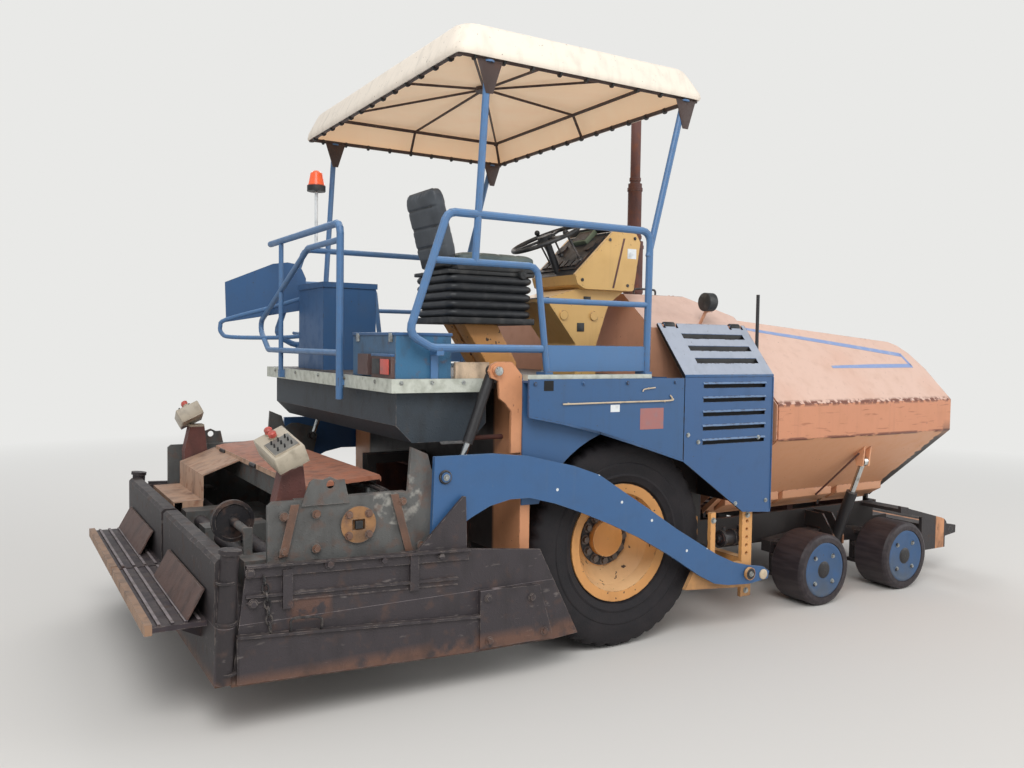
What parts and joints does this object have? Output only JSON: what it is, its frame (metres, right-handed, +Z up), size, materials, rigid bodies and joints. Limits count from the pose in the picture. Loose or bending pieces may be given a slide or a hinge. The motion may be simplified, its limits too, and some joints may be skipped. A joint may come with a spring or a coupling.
{
  "type": "asphalt paver",
  "caption": "Wheeled asphalt paver with a folding-wing hopper, slat conveyor, augers, tow arms and an extending screed under an operator platform with a canopy.",
  "frame": {"origin": "on the ground under the middle of the overall length and width", "axes": "+X forward to the hopper, +Y to the machine's left, +Z up"},
  "size_m": [6.092, 2.6758, 3.45],
  "materials": {
    "orange_paint": "weathered satin paint with rust at the edges",
    "blue_paint": "weathered satin paint, sun-faded on the slopes",
    "dark_steel": "worn dark paint with asphalt and rust",
    "brown_paint": "worn brown-red paint",
    "step_alloy": "dull, scuffed",
    "canopy_cloth": "coated canopy cloth",
    "seat_vinyl": "dark seat cover",
    "black_plastic": "dusty",
    "olive_plastic": "aged tank plastic",
    "amber_lamp": "amber",
    "black_paint": "satin",
    "rod_chrome": "polished rod",
    "tyre_rubber": "dusty rubber",
    "rim_paint": "chipped yellow-orange"
  },
  "bodies": {
    "tractor": {"frame": "orange_paint", "bulkhead": "orange_paint", "front_beam": "orange_paint", "tow_posts": "orange_paint", "final_drives": "dark_steel", "bogie_beams": "dark_steel", "engine_block": "dark_steel", "fenders": "blue_paint", "engine_hood": "blue_paint", "conveyor": "dark_steel", "tunnel": "dark_steel", "deck": "dark_steel", "platform_skirt": "dark_steel", "step_edges": "step_alloy", "handrails": "blue_paint", "canopy_frame": "brown_paint", "canopy_cover": "canopy_cloth", "exhaust": "brown_paint", "seat": "seat_vinyl", "seat_base": "black_plastic", "console": "black_plastic", "steering_wheel": "black_plastic", "tank": "olive_plastic", "beacon": "amber_lamp", "rear_boxes": "brown_paint", "sight_rods": "dark_steel"},
    "door_body_left": {"door_left": "blue_paint"},
    "wing_body_left": {"wing_left": "orange_paint"},
    "wing_cylinder_left": {"wing_barrel_left": "black_paint"},
    "wing_piston_left": {"wing_rod_left": "rod_chrome"},
    "drive_wheel_left": {"drive_tyre_left": "tyre_rubber", "drive_rim_left": "rim_paint"},
    "steer_1_left": {"knuckle_1_left": "dark_steel"},
    "front_wheel_body_1_left": {"front_wheel_1_left": "tyre_rubber"},
    "steer_2_left": {"knuckle_2_left": "dark_steel"},
    "front_wheel_body_2_left": {"front_wheel_2_left": "tyre_rubber"},
    "auger_body_left": {"auger_left": "dark_steel"},
    "extension_body_left": {"extension_left": "dark_steel", "walkway_left": "dark_steel"},
    "door_body_right": {"door_right": "blue_paint"},
    "wing_body_right": {"wing_right": "orange_paint"},
    "wing_cylinder_right": {"wing_barrel_right": "black_paint"},
    "wing_piston_right": {"wing_rod_right": "rod_chrome"},
    "drive_wheel_right": {"drive_tyre_right": "tyre_rubber", "drive_rim_right": "rim_paint"},
    "steer_1_right": {"knuckle_1_right": "dark_steel"},
    "front_wheel_body_1_right": {"front_wheel_1_right": "tyre_rubber"},
    "steer_2_right": {"knuckle_2_right": "dark_steel"},
    "front_wheel_body_2_right": {"front_wheel_2_right": "tyre_rubber"},
    "auger_body_right": {"auger_right": "dark_steel"},
    "extension_body_right": {"extension_right": "dark_steel", "walkway_right": "dark_steel"},
    "rollers": {"push_rollers": "dark_steel"},
    "screed": {"tow_arms": "blue_paint", "screed_body": "dark_steel", "screed_covers": "brown_paint", "control_stations": "brown_paint"},
    "lift_cylinders": {"lift_barrels": "black_paint"},
    "lift_pistons": {"lift_rods": "rod_chrome"}
  },
  "joints": [
    {"name": "wing_lower_right", "type": "hinge", "parent": "tractor", "child": "wing_body_right", "pos_m": [1.583, -0.56, 0.6], "axis": [1, 0, 0], "range_deg": [0, 28]},
    {"name": "wing_cylinder_swing_right", "type": "hinge", "parent": "tractor", "child": "wing_cylinder_right", "pos_m": [1.709, -0.88, 0.352], "axis": [1, 0, 0], "range_deg": [-1, 26.5]},
    {"name": "wing_rod_slide_right", "type": "slide", "parent": "wing_cylinder_right", "child": "wing_piston_right", "axis": [0, -0.3412, 0.94], "range_m": [-0.1973, 0.003]},
    {"name": "door_swing_right", "type": "hinge", "parent": "tractor", "child": "door_body_right", "pos_m": [0.24, -1.004, 1.88], "axis": [-1, 0, 0], "range_deg": [0, 80]},
    {"name": "drive_spin_right", "type": "hinge", "parent": "tractor", "child": "drive_wheel_right", "pos_m": [-0.47, -0.968, 0.61], "axis": [0, 1, 0], "continuous": true},
    {"name": "steer_swing_1_right", "type": "hinge", "parent": "tractor", "child": "steer_1_right", "pos_m": [1.272, -0.812, 0.245], "axis": [0, 0, 1], "range_deg": [-18, 18]},
    {"name": "front_spin_1_right", "type": "hinge", "parent": "steer_1_right", "child": "front_wheel_body_1_right", "pos_m": [1.272, -1.025, 0.245], "axis": [0, 1, 0], "continuous": true},
    {"name": "steer_swing_2_right", "type": "hinge", "parent": "tractor", "child": "steer_2_right", "pos_m": [2.146, -0.812, 0.245], "axis": [0, 0, 1], "range_deg": [-18, 18]},
    {"name": "front_spin_2_right", "type": "hinge", "parent": "steer_2_right", "child": "front_wheel_body_2_right", "pos_m": [2.146, -1.025, 0.245], "axis": [0, 1, 0], "continuous": true},
    {"name": "auger_spin_right", "type": "hinge", "parent": "tractor", "child": "auger_body_right", "pos_m": [-1.56, -0.5, 0.52], "axis": [0, 1, 0], "continuous": true},
    {"name": "extension_slide_right", "type": "slide", "parent": "screed", "child": "extension_body_right", "axis": [0, -1, 0], "range_m": [0, 1.1]},
    {"name": "wing_lower_left", "type": "hinge", "parent": "tractor", "child": "wing_body_left", "pos_m": [1.583, 0.56, 0.6], "axis": [-1, 0, 0], "range_deg": [0, 28]},
    {"name": "wing_cylinder_swing_left", "type": "hinge", "parent": "tractor", "child": "wing_cylinder_left", "pos_m": [1.709, 0.88, 0.352], "axis": [-1, 0, 0], "range_deg": [-1, 26.5]},
    {"name": "wing_rod_slide_left", "type": "slide", "parent": "wing_cylinder_left", "child": "wing_piston_left", "axis": [0, 0.3412, 0.94], "range_m": [-0.1973, 0.003]},
    {"name": "door_swing_left", "type": "hinge", "parent": "tractor", "child": "door_body_left", "pos_m": [0.24, 1.004, 1.88], "axis": [1, 0, 0], "range_deg": [0, 80]},
    {"name": "drive_spin_left", "type": "hinge", "parent": "tractor", "child": "drive_wheel_left", "pos_m": [-0.47, 0.968, 0.61], "axis": [0, 1, 0], "continuous": true},
    {"name": "steer_swing_1_left", "type": "hinge", "parent": "tractor", "child": "steer_1_left", "pos_m": [1.272, 0.812, 0.245], "axis": [0, 0, 1], "range_deg": [-18, 18]},
    {"name": "front_spin_1_left", "type": "hinge", "parent": "steer_1_left", "child": "front_wheel_body_1_left", "pos_m": [1.272, 1.025, 0.245], "axis": [0, 1, 0], "continuous": true},
    {"name": "steer_swing_2_left", "type": "hinge", "parent": "tractor", "child": "steer_2_left", "pos_m": [2.146, 0.812, 0.245], "axis": [0, 0, 1], "range_deg": [-18, 18]},
    {"name": "front_spin_2_left", "type": "hinge", "parent": "steer_2_left", "child": "front_wheel_body_2_left", "pos_m": [2.146, 1.025, 0.245], "axis": [0, 1, 0], "continuous": true},
    {"name": "auger_spin_left", "type": "hinge", "parent": "tractor", "child": "auger_body_left", "pos_m": [-1.56, 0.5, 0.52], "axis": [0, 1, 0], "continuous": true},
    {"name": "extension_slide_left", "type": "slide", "parent": "screed", "child": "extension_body_left", "axis": [0, 1, 0], "range_m": [0, 1.1]},
    {"name": "roller_spin", "type": "hinge", "parent": "tractor", "child": "rollers", "pos_m": [2.965, 0, 0.33], "axis": [0, 1, 0], "continuous": true},
    {"name": "screed_raise", "type": "hinge", "parent": "tractor", "child": "screed", "pos_m": [0.426, 0, 0.354], "axis": [0, 1, 0], "range_deg": [-4.1, 3.5]},
    {"name": "lift_cylinder_swing", "type": "hinge", "parent": "tractor", "child": "lift_cylinders", "pos_m": [-1.351, 0, 1.612], "axis": [0, 1, 0], "range_deg": [-2, 2]},
    {"name": "lift_rod_slide", "type": "slide", "parent": "lift_cylinders", "child": "lift_pistons", "axis": [-0.3541, 0, -0.9352], "range_m": [-0.1319, 0.154]}
  ],
  "couplings": [
    {"joint": "wing_cylinder_swing_right", "follows": "wing_lower_right", "ratio": 0.91},
    {"joint": "wing_rod_slide_right", "follows": "wing_lower_right", "m_per_rad": -0.39756},
    {"joint": "wing_cylinder_swing_left", "follows": "wing_lower_left", "ratio": 0.91},
    {"joint": "wing_rod_slide_left", "follows": "wing_lower_left", "m_per_rad": -0.39756},
    {"joint": "steer_swing_2_right", "follows": "steer_swing_1_right", "ratio": 1},
    {"joint": "steer_swing_1_left", "follows": "steer_swing_1_right", "ratio": 1},
    {"joint": "steer_swing_2_left", "follows": "steer_swing_1_right", "ratio": 1},
    {"joint": "lift_cylinder_swing", "follows": "screed_raise", "ratio": 0.09},
    {"joint": "lift_rod_slide", "follows": "screed_raise", "m_per_rad": -2.11}
  ]
}
